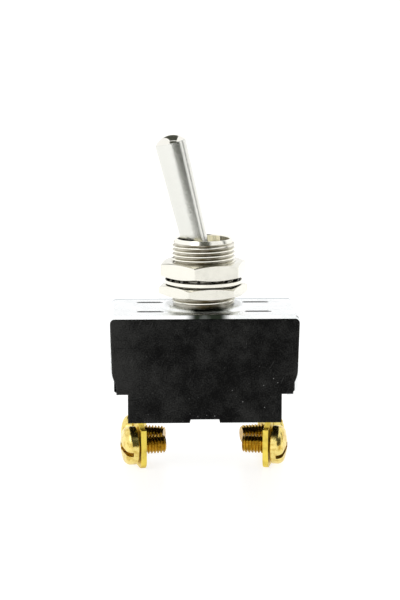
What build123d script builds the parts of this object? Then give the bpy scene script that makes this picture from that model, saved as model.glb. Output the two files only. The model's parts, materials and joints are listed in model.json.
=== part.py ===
from build123d import *
import os
from math import asin, cos, degrees, radians, sin, sqrt

# Heavy-duty double-pole toggle switch with screw terminals, in millimetres.
# The switch stands on its four terminal tabs: Z = 0 is the surface under them, +Z runs up the
# bushing's axis, +X runs from the line terminals to the load terminals, and -Y is the front.

# ---- driving dimensions: case --------------------------------------------------------------------
housing_length = 35.0
housing_width = 18.0
housing_height = 19.6
housing_top_corner = 1.0
housing_draft = 0.3            # how much each end leans in above the shoulder
step_height = 5.4              # height of the narrow lower section
step_depth = 3.25              # how far each end steps in above the terminals
shoulder_depth = 0.75          # how far each end curves in above the step
shoulder_top = 9.6             # where the shoulder's curve starts, below the top
shoulder_length = 3.0
shoulder_draft = 0.1           # how much each end leans in between shoulder and step
wall = 1.5
floor_thickness = 2.5
barrier = 1.2
upper_chamber_depth = 10.6
notch_width = 5.6
notch_depth = 0.65
edge_break = 0.25

# ---- driving dimensions: cover frame and insulator -----------------------------------------------
sheet = 0.7                    # steel sheet of the cover frame
cover_inset = 0.15             # the cover's long edges stand back from the case's faces
flange_width = 13.0
bend_radius = 1.1              # outside radius of the cover's bends
hook_length = 1.3
boss_height = 0.8
boss_margin = 0.25             # flat left between the boss and the cover's long edges
boss_land = 0.35               # flat top of the boss left round the bushing's base ring
lug_length = 5.0
lug_width = 1.2
lug_offset_x = 10.0
lug_offset_y = 4.9
insulator = 0.8
insulator_rim = 0.9            # rim of the case left round the insulator

# ---- driving dimensions: bushing, nuts and washer ------------------------------------------------
bushing_radius = 5.95          # 15/32-32 thread
thread_depth = 0.5
bushing_above_cover = 13.1
bushing_wall = 1.08
bushing_chamfer = 0.4
lead_length = 1.25             # cone that leads a nut on to the bushing's thread
lead_depth = 0.7
base_ring_step = 0.3           # how far the base ring stands out from the thread
base_ring_height = 0.9
spigot_wall = 0.95
stake_flare = 0.75
stake_chamfer = 0.2
neck_wall_height = 2.6         # from the pivot up to where the bore opens out
keyway_width = 2.2
keyway_depth = 0.55
nut_across_flats = 14.7
lower_nut_thickness = 2.05
upper_nut_thickness = 2.65
nut_chamfer = 0.45
nut_face_inset = 0.15          # from a nut's flats in to its round end faces
lower_nut_height = 2.45        # underside of the lower nut above the cover
lower_nut_turn = 9.5
upper_nut_turn = 17.3
washer_inset = 0.05            # from the nuts' flats in to the washer's rim
washer_ring = 0.65
washer_sheet = 0.6
washer_lift = 0.28             # from the lower nut up to the washer's ring
washer_tooth_width = 1.3
washer_gap = 1.65              # room between the two nuts
washer_teeth = 14

# ---- driving dimensions: lever -------------------------------------------------------------------
pivot_above_cover = 5.8
lever_swing = 27.5             # whole throw, in degrees
lever_length = 27.3            # pivot to the tip's top
lever_tip_radius = 2.95
lever_rim_radius = 2.5         # where the lever leaves the bushing
lever_waist_radius = 2.35      # between the ball and the bushing's rim
lever_dome_height = 1.35
lever_tip_land = 0.4           # cylindrical length under the dome
ball_radius = 3.3
tail_radius = 2.0
tail_recess = 1.0              # the tail ends this far inside the carrier
pin_radius = 0.8
pin_length = 9.0

# ---- driving dimensions: contacts ----------------------------------------------------------------
rocker_swing = 14.0            # whole swing, in degrees
rocker_thickness = 0.9
rocker_rim = 0.1               # how far the blade stands out beyond its ears
rocker_half_length = 8.8
rocker_wing_rise = 1.25        # from the rocker's lowest point to its wings
contact_radius = 1.4
contact_height = 0.6
contact_chamfer = 0.15
contact_land = 0.3             # shelf left beyond the contact's head
contact_dome_radius = 4.0
rivet_radius = 0.7
fulcrum_height = 4.4           # fulcrum centre above the case's floor
post_width = 2.8
ear_radius = 1.35
ear_thickness = 0.5
plunger_tip_radius = 1.0
plunger_guide = 1.6            # length of the plunger inside the carrier
plunger_collar = 0.6           # full-width length that shows below the carrier
plunger_projection = 3.6       # tip below the carrier
plunger_travel = 1.0
tip_above_fulcrum = 1.4
spring_wire = 0.4
spring_turns = 4
spring_spare = 0.3             # room left when the spring is closed up by the plunger's travel
spring_wire_sides = 8
carrier_wall = 0.9             # outside each plunger's bore
carrier_web = 0.65             # between each plunger's bore and the tail
carrier_face = 0.4             # beside the widest hole, along X
carrier_side_gap = 0.45        # from the carrier's ends to the chambers' walls
carrier_gap = 0.3              # under the insulator when the lever is fully over
carrier_floor_gap = 0.5        # from the carrier's sweep down to the barrier
stop_rib_length = 2.0
stop_rib_gap = 0.15            # from the line terminal to the rib

# ---- driving dimensions: terminals and screws ----------------------------------------------------
strip = 1.05                   # brass strip of the terminals
strip_bend = 0.9               # radius of the strip's bends, at its middle
terminal_inset = 2.25          # from the lower section's end to the strip's middle
neck_width = 4.0
neck_height = 1.65
tab_width = 7.0
tab_height = 7.5
tab_corner = 1.6
tab_twist = 12.0
screw_radius = 1.75            # M3.5 x 0.6
screw_rise = 0.2               # the screw's hole above the middle of its tab
screw_head_radius = 3.6
screw_head_rim = 1.1
screw_head_height = 2.8
screw_gap = 0.3                # head to tab, as the screw stands
screw_reach = 4.2              # thread beyond the tab
screw_slot = 0.85
screw_slot_overrun = 1.1       # the slot's length over the head's width
screw_cross_share = 0.5        # the cross bar's length over the head's width
screw_recess_depth = 1.0
screw_point_chamfer = 0.3

# ---- named clearances ----------------------------------------------------------------------------
running = 0.05                 # radial, for pins, plungers and screws in their holes
seat = 0.05                    # between pieces that lie against each other on different bodies
fit = 0.05                     # round loose flat pieces in their recesses
ball_clearance = 0.08          # round the lever's ball in the bushing
cut = 1.0                      # how far a cutting solid runs past what it cuts

# ---- levels, from the ground up ------------------------------------------------------------------
stand_height = tab_height + neck_height
housing_top = stand_height + housing_height
chamber_floor = stand_height + floor_thickness
cover_under = housing_top
cover_top = cover_under + sheet
boss_top = cover_top + boss_height
pivot_z = cover_top + pivot_above_cover
bushing_top = cover_top + bushing_above_cover
lower_nut_bottom = cover_top + lower_nut_height
washer_bottom = lower_nut_bottom + lower_nut_thickness
upper_nut_bottom = washer_bottom + washer_gap
upper_nut_top = upper_nut_bottom + upper_nut_thickness
ring_top = boss_top + base_ring_height
fulcrum_z = chamber_floor + fulcrum_height

# ---- places worked out from the driving dimensions -----------------------------------------------
half_length = housing_length / 2
half_width = housing_width / 2
lower_half_length = half_length - step_depth
terminal_x = lower_half_length - terminal_inset
screw_z = tab_height / 2 + screw_rise
chamber_half_length = lower_half_length - wall
upper_chamber_half_length = half_length - housing_draft - sheet - fit - wall
chamber_half_width = half_width - wall
lever_tilt = lever_swing / 2
rocker_tilt = rocker_swing / 2
swing_ratio = rocker_swing / lever_swing
post_radius = strip / 2
groove_radius = post_radius + running
engaged_radius = bushing_radius - thread_depth / 2
bushing_bore_radius = bushing_radius - bushing_wall
base_ring_radius = bushing_radius + base_ring_step
boss_top_radius = base_ring_radius + boss_land
boss_base_radius = half_width - cover_inset - boss_margin
spigot_bore_radius = boss_top_radius - sheet - stake_flare - spigot_wall
spigot_radius = spigot_bore_radius + spigot_wall
bore_shoulder_z = pivot_z + neck_wall_height
neck_radius = ball_radius + ball_clearance
contact_offset = rocker_half_length - contact_radius
rocker_width = post_width + 2 * (2 * running + ear_thickness + rocker_rim)

# Distances down the lever's tail, from the pivot.
tip_reach = pivot_z - fulcrum_z - tip_above_fulcrum
carrier_headroom = pivot_above_cover + sheet + insulator + carrier_gap
carrier_bottom = tip_reach - plunger_projection
guide_top = carrier_bottom - plunger_guide
spring_closed = (spring_turns + 1) * spring_wire
spring_room = spring_closed + plunger_travel + spring_spare
bore_top = guide_top - spring_room

# Across the carrier, from the tail out to the case's side walls.
carrier_half_width = chamber_half_width - carrier_side_gap
bore_radius = (carrier_half_width - carrier_wall - carrier_web - tail_radius) / 2
plunger_radius = bore_radius - running
pole_offset = tail_radius + carrier_web + bore_radius
carrier_thickness = 2 * (max(tail_radius, bore_radius) + carrier_face)

# The plunger's tip runs along this arc of the rocker as the lever swings.
ball_reach = tip_reach - plunger_tip_radius
pivot_rise = pivot_z - fulcrum_z
path_radius = (ball_reach * (1 + swing_ratio) - pivot_rise * swing_ratio) ** 2 / (
    ball_reach * (1 + swing_ratio) ** 2 - pivot_rise * swing_ratio ** 2
)
saddle_radius = path_radius + plunger_tip_radius + seat
saddle_bottom = tip_above_fulcrum - seat
saddle_centre = saddle_bottom + saddle_radius
wing_top = saddle_bottom + rocker_wing_rise
wing_bottom = wing_top - rocker_thickness

# Heights where the rocker's two ends come to rest.
dome_centre = wing_bottom - contact_height + contact_dome_radius
fixed_contact_top = (
    fulcrum_z
    - contact_offset * sin(radians(rocker_tilt))
    + dome_centre * cos(radians(rocker_tilt))
    - contact_dome_radius
    - seat
)
shelf_top = fixed_contact_top - contact_height
stop_rib_top = (
    fulcrum_z
    - rocker_half_length * sin(radians(rocker_tilt))
    + wing_bottom * cos(radians(rocker_tilt))
    - seat
)


upwards = (Align.CENTER, Align.CENTER, Align.MIN)


def block(x0, x1, y0, y1, z0, z1):
    """A box between two corners."""
    size = Box(x1 - x0, y1 - y0, z1 - z0, align=(Align.MIN, Align.MIN, Align.MIN))
    return Pos(x0, y0, z0) * size


def side_profile(sketch, width, y_middle=0.0):
    """A sketch drawn in X and Z, extruded to a width along Y about a middle."""
    face = Plane.XZ * sketch
    return Pos(0, y_middle, 0) * extrude(face, amount=width / 2, both=True)


def turned(points):
    """A closed outline of radius and height pairs, revolved about Z."""
    outline = make_face(Polyline(*points, close=True))
    return revolve(Plane.XZ * outline, axis=Axis.Z)


def on_lever(solid):
    """Puts a piece drawn about the upright lever's pivot at its resting tilt."""
    return Pos(0, 0, pivot_z) * Rot(0, -lever_tilt, 0) * solid


def on_rocker(solid, pole):
    """Puts a piece drawn about a rocker's fulcrum at its resting tilt."""
    return Pos(0, pole * pole_offset, fulcrum_z) * Rot(0, rocker_tilt, 0) * solid


# ---- case ----------------------------------------------------------------------------------------
def housing_outline():
    """The case's end-to-end outline: drafted ends, curved shoulders and a stepped-in base."""
    top_x = half_length
    draft_x = half_length - housing_draft
    shoulder_x = draft_x - shoulder_depth
    shoulder_z = housing_top - shoulder_top
    step_z = stand_height + step_height
    curve_end_z = shoulder_z - shoulder_length
    right = Line((0, housing_top), (top_x, housing_top))
    end = Line((top_x, housing_top), (draft_x, shoulder_z))
    ogee = Bezier(
        (draft_x, shoulder_z),
        (draft_x, shoulder_z - shoulder_length / 2),
        (shoulder_x + shoulder_depth / 4, curve_end_z + shoulder_length / 3),
        (shoulder_x, curve_end_z),
    )
    lower = Polyline(
        (shoulder_x, curve_end_z),
        (shoulder_x - shoulder_draft, step_z),
        (lower_half_length, step_z),
        (lower_half_length, stand_height),
        (notch_width / 2, stand_height),
        (notch_width / 2 - notch_depth / 4, stand_height + notch_depth),
        (0, stand_height + notch_depth),
    )
    half = Curve() + [right, end, ogee, lower]
    face = make_face(half + mirror(half, Plane.YZ))
    corners = face.vertices().group_by(Axis.Y)[-1].sort_by(Axis.X)
    return fillet([corners[0], corners[-1]], housing_top_corner)


def chamber(pole):
    """One pole's chamber, wide at the top and narrow between the terminals."""
    y0 = barrier / 2
    y1 = chamber_half_width
    ledge_z = housing_top - upper_chamber_depth
    narrow = block(-chamber_half_length, chamber_half_length, y0, y1, chamber_floor, housing_top)
    upper = block(-upper_chamber_half_length, upper_chamber_half_length, y0, y1, ledge_z, housing_top)
    room = narrow + upper
    return room if pole > 0 else mirror(room, Plane.XZ)


def lever_room():
    """The open space over the barrier, where the carrier swings."""
    sweep = carrier_bottom * sin(radians(lever_tilt)) + carrier_thickness
    dip = carrier_thickness / 2 * sin(radians(lever_tilt))
    low = pivot_z - carrier_bottom - dip - carrier_floor_gap
    return block(-sweep, sweep, -chamber_half_width, chamber_half_width, low, housing_top)


def terminal_slot(side, pole):
    """The slot in the case's floor that a terminal strip passes through."""
    x = side * terminal_x
    y = pole * pole_offset
    gap_x = strip / 2 + fit
    gap_y = neck_width / 2 + fit
    return block(x - gap_x, x + gap_x, y - gap_y, y + gap_y, stand_height - cut, chamber_floor + cut)


def bend_room(pole):
    """Eased edge of a line terminal's slot, under the inside of the strip's bend."""
    ease = strip_bend - strip / 2
    x = strip / 2 + fit - terminal_x
    y = pole * pole_offset
    gap_y = neck_width / 2 + fit
    return block(x, x + ease, y - gap_y, y + gap_y, chamber_floor - ease, chamber_floor + cut)


def stop_rib(pole):
    """Rib on the chamber's side wall that the rocker's idle wing lands on."""
    x0 = -rocker_half_length
    inner = pole_offset + post_width / 2 + stop_rib_gap
    y0, y1 = sorted((pole * inner, pole * chamber_half_width))
    return block(x0, x0 + stop_rib_length, y0, y1, chamber_floor, stop_rib_top)


def anvil(pole):
    """Pedestal under a load terminal's shelf."""
    y = pole * pole_offset
    pedestal = block(
        contact_offset - contact_radius,
        contact_offset + contact_radius,
        y - neck_width / 2,
        y + neck_width / 2,
        chamber_floor,
        shelf_top - strip,
    )
    rivet_room = Cylinder(rivet_radius + fit, 2 * contact_height)
    return pedestal - Pos(contact_offset, y, shelf_top - strip) * rivet_room


def housing():
    """Phenolic case with two chambers, floor slots, stops and grooves for the cover's flanges."""
    body = side_profile(housing_outline(), housing_width)
    front_edges = body.faces().sort_by(Axis.Y)[0].edges() + body.faces().sort_by(Axis.Y)[-1].edges()
    body = chamfer(front_edges, edge_break)
    rim_x = half_length - sheet - fit - insulator_rim
    rim_y = half_width - insulator_rim
    body -= block(-rim_x, rim_x, -rim_y, rim_y, housing_top - insulator - fit, housing_top + cut)
    for pole in (-1, 1):
        body -= chamber(pole)
        body -= bend_room(pole)
        body += stop_rib(pole) + anvil(pole)
        for side in (-1, 1):
            body -= terminal_slot(side, pole)
    body -= lever_room()
    groove_x = half_length - sheet - fit
    groove_y = flange_width / 2 + fit
    groove = block(groove_x, half_length + cut, -groove_y, groove_y, stand_height, housing_top + cut)
    bend_relief = make_face(
        Polyline(
            (groove_x - bend_radius + sheet, housing_top),
            (groove_x, housing_top - bend_radius + sheet),
            (half_length + cut, housing_top),
            close=True,
        )
    )
    groove += side_profile(bend_relief, 2 * groove_y)
    body -= groove
    body -= mirror(groove, Plane.YZ)
    return body


# ---- cover frame and insulator -------------------------------------------------------------------
def channel_outline():
    """The cover's channel section: top, two end flanges and a hook under each shoulder."""
    outer_x = half_length - sheet / 2
    hook_x = half_length - sheet - hook_length
    hook_z = stand_height + step_height - seat - sheet / 2
    middle_line = FilletPolyline(
        (-hook_x, hook_z),
        (-outer_x, hook_z),
        (-outer_x, cover_top - sheet / 2),
        (outer_x, cover_top - sheet / 2),
        (outer_x, hook_z),
        (hook_x, hook_z),
        radius=bend_radius - sheet / 2,
    )
    return trace(middle_line, line_width=sheet)


def boss_form(foot_radius, top_radius, low, high):
    """The drawn boss as a form of revolution that eases from its foot into its flat top."""
    middle = (foot_radius + top_radius) / 2
    side = Bezier((foot_radius, low), (middle, low), (middle, high), (top_radius, high))
    rest = Polyline((top_radius, high), (0, high), (0, low), (foot_radius, low))
    return revolve(Plane.XZ * make_face(Curve() + [side, rest]), axis=Axis.Z)


def cover_frame():
    """Folded steel channel with a drawn boss for the bushing and four slots for the lugs."""
    flanges = side_profile(channel_outline(), flange_width)
    top_x = half_length - sheet - fit
    top_y = half_width - cover_inset
    body = flanges + block(-top_x, top_x, -top_y, top_y, cover_under, cover_top)
    body += boss_form(boss_base_radius, boss_top_radius, cover_top, boss_top)
    body -= boss_form(boss_base_radius - sheet, boss_top_radius - sheet, cover_under, boss_top - sheet)
    body -= Pos(0, 0, boss_top) * Cylinder(spigot_radius, 4 * sheet)
    for x in (-lug_offset_x, lug_offset_x):
        for y in (-lug_offset_y, lug_offset_y):
            slot = SlotOverall(lug_length + 2 * fit, lug_width + 2 * fit)
            body -= Pos(x, y, cover_under) * extrude(slot, amount=cut, both=True)
    return body


def insulator_plate():
    """Insulating plate in the case's rim, with a hole for the lever's tail and four keyed lugs."""
    rim_x = half_length - sheet - 2 * fit - insulator_rim
    rim_y = half_width - insulator_rim - fit
    body = block(-rim_x, rim_x, -rim_y, rim_y, cover_under - insulator, cover_under)
    hole_radius = spigot_radius + running
    body -= Pos(0, 0, cover_under) * Cylinder(hole_radius, 4 * insulator)
    for x in (-lug_offset_x, lug_offset_x):
        for y in (-lug_offset_y, lug_offset_y):
            lug = extrude(SlotOverall(lug_length, lug_width), amount=0.9 * sheet)
            body += Pos(x, y, cover_under) * lug
    return body


# ---- bushing, nuts and washer --------------------------------------------------------------------
def pin_slot(end):
    """One of the two slots inside the bushing where the pivot pin's ends turn."""
    half = pin_radius + running
    reach = pin_length / 2 + running
    slot = block(-half, half, 0, reach, cover_under - cut, pivot_z)
    slot += Pos(0, reach / 2, pivot_z) * Rot(90, 0, 0) * Cylinder(half, reach)
    return slot if end > 0 else mirror(slot, Plane.XZ)


def bushing():
    """Turned bushing: threaded barrel, base ring, and a spigot staked under the cover's boss."""
    stake_top = boss_top - sheet
    stake_bottom = cover_under + seat
    rim = bushing_radius - lead_depth
    mouth = bushing_bore_radius + bushing_chamfer / 2
    body = turned([
        (spigot_bore_radius, stake_bottom),
        (spigot_radius + stake_flare - stake_chamfer, stake_bottom),
        (spigot_radius + stake_flare, stake_bottom + stake_chamfer),
        (spigot_radius + stake_flare, stake_top),
        (spigot_radius, stake_top),
        (spigot_radius, boss_top),
        (base_ring_radius, boss_top),
        (base_ring_radius, ring_top),
        (bushing_radius, ring_top),
        (bushing_radius, lower_nut_bottom - seat),
        (engaged_radius, lower_nut_bottom - seat),
        (engaged_radius, upper_nut_top + seat),
        (bushing_radius, upper_nut_top + seat),
        (bushing_radius, bushing_top - lead_length),
        (rim, bushing_top),
        (mouth, bushing_top),
        (bushing_bore_radius, bushing_top - bushing_chamfer / 2),
        (bushing_bore_radius, bore_shoulder_z + bushing_bore_radius - neck_radius),
        (neck_radius, bore_shoulder_z),
        (neck_radius, pivot_z - pin_radius),
        (spigot_bore_radius, pivot_z - pin_radius - bushing_chamfer),
    ])
    keyway_x = bushing_radius - keyway_depth
    keyway_y = keyway_width / 2
    body -= block(-bushing_radius - cut, -keyway_x, -keyway_y, keyway_y, ring_top, bushing_top + cut)
    return body - pin_slot(-1) - pin_slot(1)


def hex_nut(bottom, thickness, turn):
    """Chamfered hexagon panel nut, turned about the bushing."""
    flat = nut_across_flats / 2
    corner = nut_across_flats / sqrt(3)
    edge = flat - nut_face_inset
    blank = extrude(RegularPolygon(flat, 6, major_radius=False, rotation=turn + 30), amount=thickness)
    form = turned([
        (0, 0),
        (edge, 0),
        (corner, nut_chamfer),
        (corner, thickness - nut_chamfer),
        (edge, thickness),
        (0, thickness),
    ])
    bore = Cylinder(engaged_radius + running, 3 * thickness)
    return Pos(0, 0, bottom) * ((blank & form) - bore)


def lock_washer():
    """Internal-tooth lock washer: a flat ring with twisted teeth that grip between the nuts."""
    outer = nut_across_flats / 2 - washer_inset
    inner = outer - washer_ring
    tooth_root = inner + washer_ring / 2
    tooth_tip = bushing_radius + 2 * running
    tooth_rise = washer_gap - 2 * seat
    lean = degrees(asin((tooth_rise - washer_sheet) / washer_tooth_width))
    ring = Cylinder(outer, washer_sheet) - Cylinder(inner, 2 * washer_sheet)
    ring = Pos(0, 0, washer_lift + washer_sheet / 2 - washer_gap / 2) * ring
    tooth = Box(tooth_root - tooth_tip, washer_tooth_width, washer_sheet * cos(radians(lean)))
    tooth = Pos((tooth_root + tooth_tip) / 2, 0, 0) * Rot(lean, 0, 0) * tooth
    for index in range(washer_teeth):
        ring += Rot(0, 0, 360 * index / washer_teeth) * tooth
    return Pos(0, 0, washer_bottom + washer_gap / 2) * ring


# ---- lever and what rides on it ------------------------------------------------------------------
def toggle_lever():
    """Bat lever with a domed tip, a ball at the pivot and a tail that carries the actuator."""
    dome_base = lever_length - lever_dome_height
    dome_radius = (lever_tip_radius ** 2 + lever_dome_height ** 2) / (2 * lever_dome_height)
    rim_reach = bushing_above_cover - pivot_above_cover
    tail_end = carrier_bottom - tail_recess
    profile = Polyline(
        (0, -tail_end),
        (tail_radius, -tail_end),
        (tail_radius, 0),
        (lever_waist_radius, 0),
        (lever_waist_radius, rim_reach / 2),
        (lever_rim_radius, rim_reach),
        (lever_tip_radius, dome_base - lever_tip_land),
        (lever_tip_radius, dome_base),
    )
    dome = RadiusArc((lever_tip_radius, dome_base), (0, lever_length), -dome_radius)
    middle = Line((0, lever_length), (0, -tail_end))
    shaft = revolve(Plane.XZ * make_face(Curve() + [profile, dome, middle]), axis=Axis.Z)
    pin_hole = Rot(90, 0, 0) * Cylinder(pin_radius, 3 * ball_radius)
    return on_lever(shaft + Sphere(ball_radius) - pin_hole)


def pivot_pin():
    """Pin pressed through the ball, with its ends in the bushing's slots."""
    return on_lever(Rot(90, 0, 0) * Cylinder(pin_radius, pin_length))


def actuator_carrier():
    """Insulating block on the tail, with a pitched top and a bore for each pole's plunger."""
    half = carrier_thickness / 2
    pitch = radians(lever_tilt)
    ridge = -carrier_headroom / cos(pitch)
    eaves = ridge - half * sin(pitch) / cos(pitch)
    outline = make_face(
        Polyline(
            (-half, -carrier_bottom),
            (half, -carrier_bottom),
            (half, eaves),
            (0, ridge),
            (-half, eaves),
            close=True,
        )
    )
    body = side_profile(outline, 2 * carrier_half_width)
    ends = body.edges().filter_by(Axis.Z)
    body = fillet(ends, carrier_wall)
    body -= Cylinder(tail_radius, 4 * carrier_bottom)
    bore = Cylinder(bore_radius, carrier_bottom - bore_top, align=upwards)
    for pole in (-1, 1):
        body -= Pos(0, pole * pole_offset, -carrier_bottom) * bore
    return on_lever(body)


def plunger(pole):
    """Plunger with a guide in the carrier's bore and a ball nose on the rocker."""
    nose = -ball_reach
    guide_end = -(carrier_bottom + plunger_collar)
    body = turned([
        (0, nose),
        (plunger_tip_radius, nose),
        (plunger_radius, guide_end),
        (plunger_radius, -guide_top),
        (0, -guide_top),
    ])
    body += Pos(0, 0, nose) * Sphere(plunger_tip_radius)
    return on_lever(Pos(0, pole * pole_offset, 0) * body)


def plunger_spring(pole):
    """Coil spring between the bore's end and the plunger."""
    coil_radius = plunger_radius - spring_wire
    length = spring_room - spring_wire - 2 * seat
    path = Helix(length / spring_turns, length, coil_radius)
    start = Plane(origin=path @ 0, z_dir=path % 0)
    section = RegularPolygon(spring_wire / 2, spring_wire_sides)
    coil = sweep(start * section, path=path, is_frenet=True)
    lower_end = -guide_top + spring_wire / 2 + seat
    return on_lever(Pos(0, pole * pole_offset, lower_end) * coil)


# ---- contacts ------------------------------------------------------------------------------------
def rocker(pole):
    """Seesaw blade: a saddle that the plunger runs in, two level wings and two locating ears."""
    half_band = Pos(0, saddle_centre) * (
        Circle(saddle_radius + rocker_thickness) - Circle(saddle_radius)
    )
    below = Pos(0, wing_top - saddle_radius) * Rectangle(3 * saddle_radius, 2 * saddle_radius)
    saddle = half_band & below
    reach = saddle_centre - wing_bottom
    wing_root = sqrt((saddle_radius + rocker_thickness / 2) ** 2 - reach ** 2)
    wing = Pos((wing_root + rocker_half_length) / 2, wing_top - rocker_thickness / 2) * Rectangle(
        rocker_half_length - wing_root, rocker_thickness
    )
    profile = saddle + wing + mirror(wing, Plane.YZ) - Pos(0, saddle_centre) * Circle(saddle_radius)
    body = side_profile(profile, rocker_width)
    above = Pos(0, saddle_bottom) * Rectangle(2 * ear_radius, rocker_thickness)
    ear_sketch = Circle(ear_radius) - above
    ear_middle = post_width / 2 + 2 * running + ear_thickness / 2
    for y in (-ear_middle, ear_middle):
        body += side_profile(ear_sketch, ear_thickness, y)
    body -= side_profile(Circle(groove_radius), post_width + 2 * running)
    body -= Pos(contact_offset, 0, wing_top) * Cylinder(rivet_radius, 3 * rocker_thickness)
    return on_rocker(body, pole)


def moving_contact(pole):
    """Domed silver rivet on the underside of the rocker's working wing."""
    head = Pos(0, 0, dome_centre) * Sphere(contact_dome_radius)
    head &= Pos(0, 0, wing_bottom - contact_height) * Cylinder(contact_radius, contact_height, align=upwards)
    shank = Cylinder(rivet_radius, rocker_thickness, align=upwards)
    body = Pos(contact_offset, 0, 0) * (head + Pos(0, 0, wing_bottom) * shank)
    return on_rocker(body, pole)


def fixed_contact(pole):
    """Flat silver rivet on the load terminal's shelf."""
    head = Cylinder(contact_radius, contact_height, align=upwards)
    head = chamfer(head.edges().group_by(Axis.Z)[-1], contact_chamfer)
    shank = Pos(0, 0, -strip) * Cylinder(rivet_radius, strip, align=upwards)
    return Pos(contact_offset, pole * pole_offset, shelf_top) * (head + shank)


# ---- terminals and their screws ------------------------------------------------------------------
def twist(side, pole):
    """How far a terminal's tab is turned about the vertical, in degrees."""
    return side * pole * tab_twist


def tab(side, pole):
    """A terminal's screw tab under the case, twisted on its neck to lock the strip."""
    outline = Rectangle(tab_width, tab_height)
    low = outline.vertices().group_by(Axis.Y)[0]
    outline = fillet(low, tab_corner)
    outline -= Pos(0, screw_rise) * Circle(screw_radius + running)
    plate = extrude(Plane.YZ * outline, amount=strip / 2, both=True)
    plate = Pos(0, 0, tab_height / 2) * Rot(0, 0, twist(side, pole)) * plate
    upper = Pos(0, 0, stand_height) * Rectangle(strip, neck_width)
    lower = Pos(0, 0, tab_height) * Rot(0, 0, twist(side, pole)) * Rectangle(strip, neck_width)
    neck = loft([lower.face(), upper.face()])
    return Pos(side * terminal_x, pole * pole_offset, 0) * (plate + neck)


def line_terminal(pole):
    """Strip that runs from its tab along the case's floor to the rocker's fulcrum post."""
    y = pole * pole_offset
    lay = chamber_floor + strip / 2
    narrow_x = 2 * strip_bend - terminal_x
    leg_line = FilletPolyline(
        (-terminal_x, stand_height),
        (-terminal_x, lay),
        (narrow_x, lay),
        radius=strip_bend,
    )
    post_line = FilletPolyline(
        (narrow_x, lay),
        (0, lay),
        (0, fulcrum_z),
        radius=strip_bend,
    )
    leg = side_profile(trace(leg_line, line_width=strip), neck_width, y)
    post = side_profile(trace(post_line, line_width=strip), post_width, y)
    crown = side_profile(Pos(0, fulcrum_z) * Circle(post_radius), post_width, y)
    return tab(-1, pole) + leg + post + crown


def load_terminal(pole):
    """Strip that rises through the floor and bends in as a shelf under the contacts."""
    y = pole * pole_offset
    shelf_end = contact_offset - contact_radius - contact_land
    line = FilletPolyline(
        (terminal_x, stand_height),
        (terminal_x, shelf_top - strip / 2),
        (shelf_end, shelf_top - strip / 2),
        radius=strip_bend,
    )
    leg = side_profile(trace(line, line_width=strip), neck_width, y)
    hole = Pos(contact_offset, y, shelf_top) * Cylinder(rivet_radius, 3 * strip)
    return tab(1, pole) + (leg - hole)


def terminal_screw(side, pole, recess_turn):
    """Pan-head terminal screw with a combined slot and cross, lying in its tab's hole."""
    dome = screw_head_height - screw_head_rim
    dome_radius = (screw_head_radius ** 2 + dome ** 2) / (2 * dome)
    shank_end = -(screw_gap + strip + screw_reach)
    profile = Polyline(
        (0, shank_end),
        (screw_radius - screw_point_chamfer, shank_end),
        (screw_radius, shank_end + screw_point_chamfer),
        (screw_radius, 0),
        (screw_head_radius, 0),
        (screw_head_radius, screw_head_rim),
    )
    top = RadiusArc((screw_head_radius, screw_head_rim), (0, screw_head_height), -dome_radius)
    middle = Line((0, screw_head_height), (0, shank_end))
    screw = revolve(Plane.XZ * make_face(Curve() + [profile, top, middle]), axis=Axis.Z)
    head_width = 2 * screw_head_radius
    depth = 2 * screw_recess_depth
    recess = Box(screw_slot_overrun * head_width, screw_slot, depth)
    recess += Box(screw_slot, screw_cross_share * head_width, depth)
    screw -= Pos(0, 0, screw_head_height) * Rot(0, 0, recess_turn) * recess
    screw = Pos(0, 0, strip / 2 + screw_gap) * screw
    facing = Rot(0, 0, twist(side, pole)) * Rot(0, side * 90, 0)
    return Pos(side * terminal_x, pole * pole_offset, screw_z) * facing * screw


# ---- every piece, by name ------------------------------------------------------------------------
def all_pieces():
    """Every piece of the switch, by its name."""
    pieces = {
        "housing": housing(),
        "cover_frame": cover_frame(),
        "insulator_plate": insulator_plate(),
        "bushing": bushing(),
        "lower_hex_nut": hex_nut(lower_nut_bottom, lower_nut_thickness, lower_nut_turn),
        "lock_washer": lock_washer(),
        "upper_hex_nut": hex_nut(upper_nut_bottom, upper_nut_thickness, upper_nut_turn),
        "toggle_lever": toggle_lever(),
        "pivot_pin": pivot_pin(),
        "actuator_carrier": actuator_carrier(),
    }
    recess_turns = {(-1, -1): 12, (-1, 1): 65, (1, -1): 118, (1, 1): 35}
    for pole, name in ((-1, "front"), (1, "back")):
        pieces["plunger_" + name] = plunger(pole)
        pieces["plunger_spring_" + name] = plunger_spring(pole)
        pieces["rocker_" + name] = rocker(pole)
        pieces["moving_contact_" + name] = moving_contact(pole)
        pieces["fixed_contact_" + name] = fixed_contact(pole)
        pieces["line_terminal_" + name] = line_terminal(pole)
        pieces["load_terminal_" + name] = load_terminal(pole)
        for side, end in ((-1, "line"), (1, "load")):
            turn = recess_turns[side, pole]
            pieces["terminal_screw_" + end + "_" + name] = terminal_screw(side, pole, turn)
    return pieces


os.makedirs("parts", exist_ok=True)
for node, solid in all_pieces().items():
    export_step(solid, "parts/" + node + ".step")
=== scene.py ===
import json
import logging
import math
from contextlib import contextmanager
from dataclasses import dataclass, field
from enum import Enum
from functools import partial
from typing import Any, Callable, Iterator, Sequence

import bpy
from mathutils import Euler, Matrix, Vector


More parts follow.
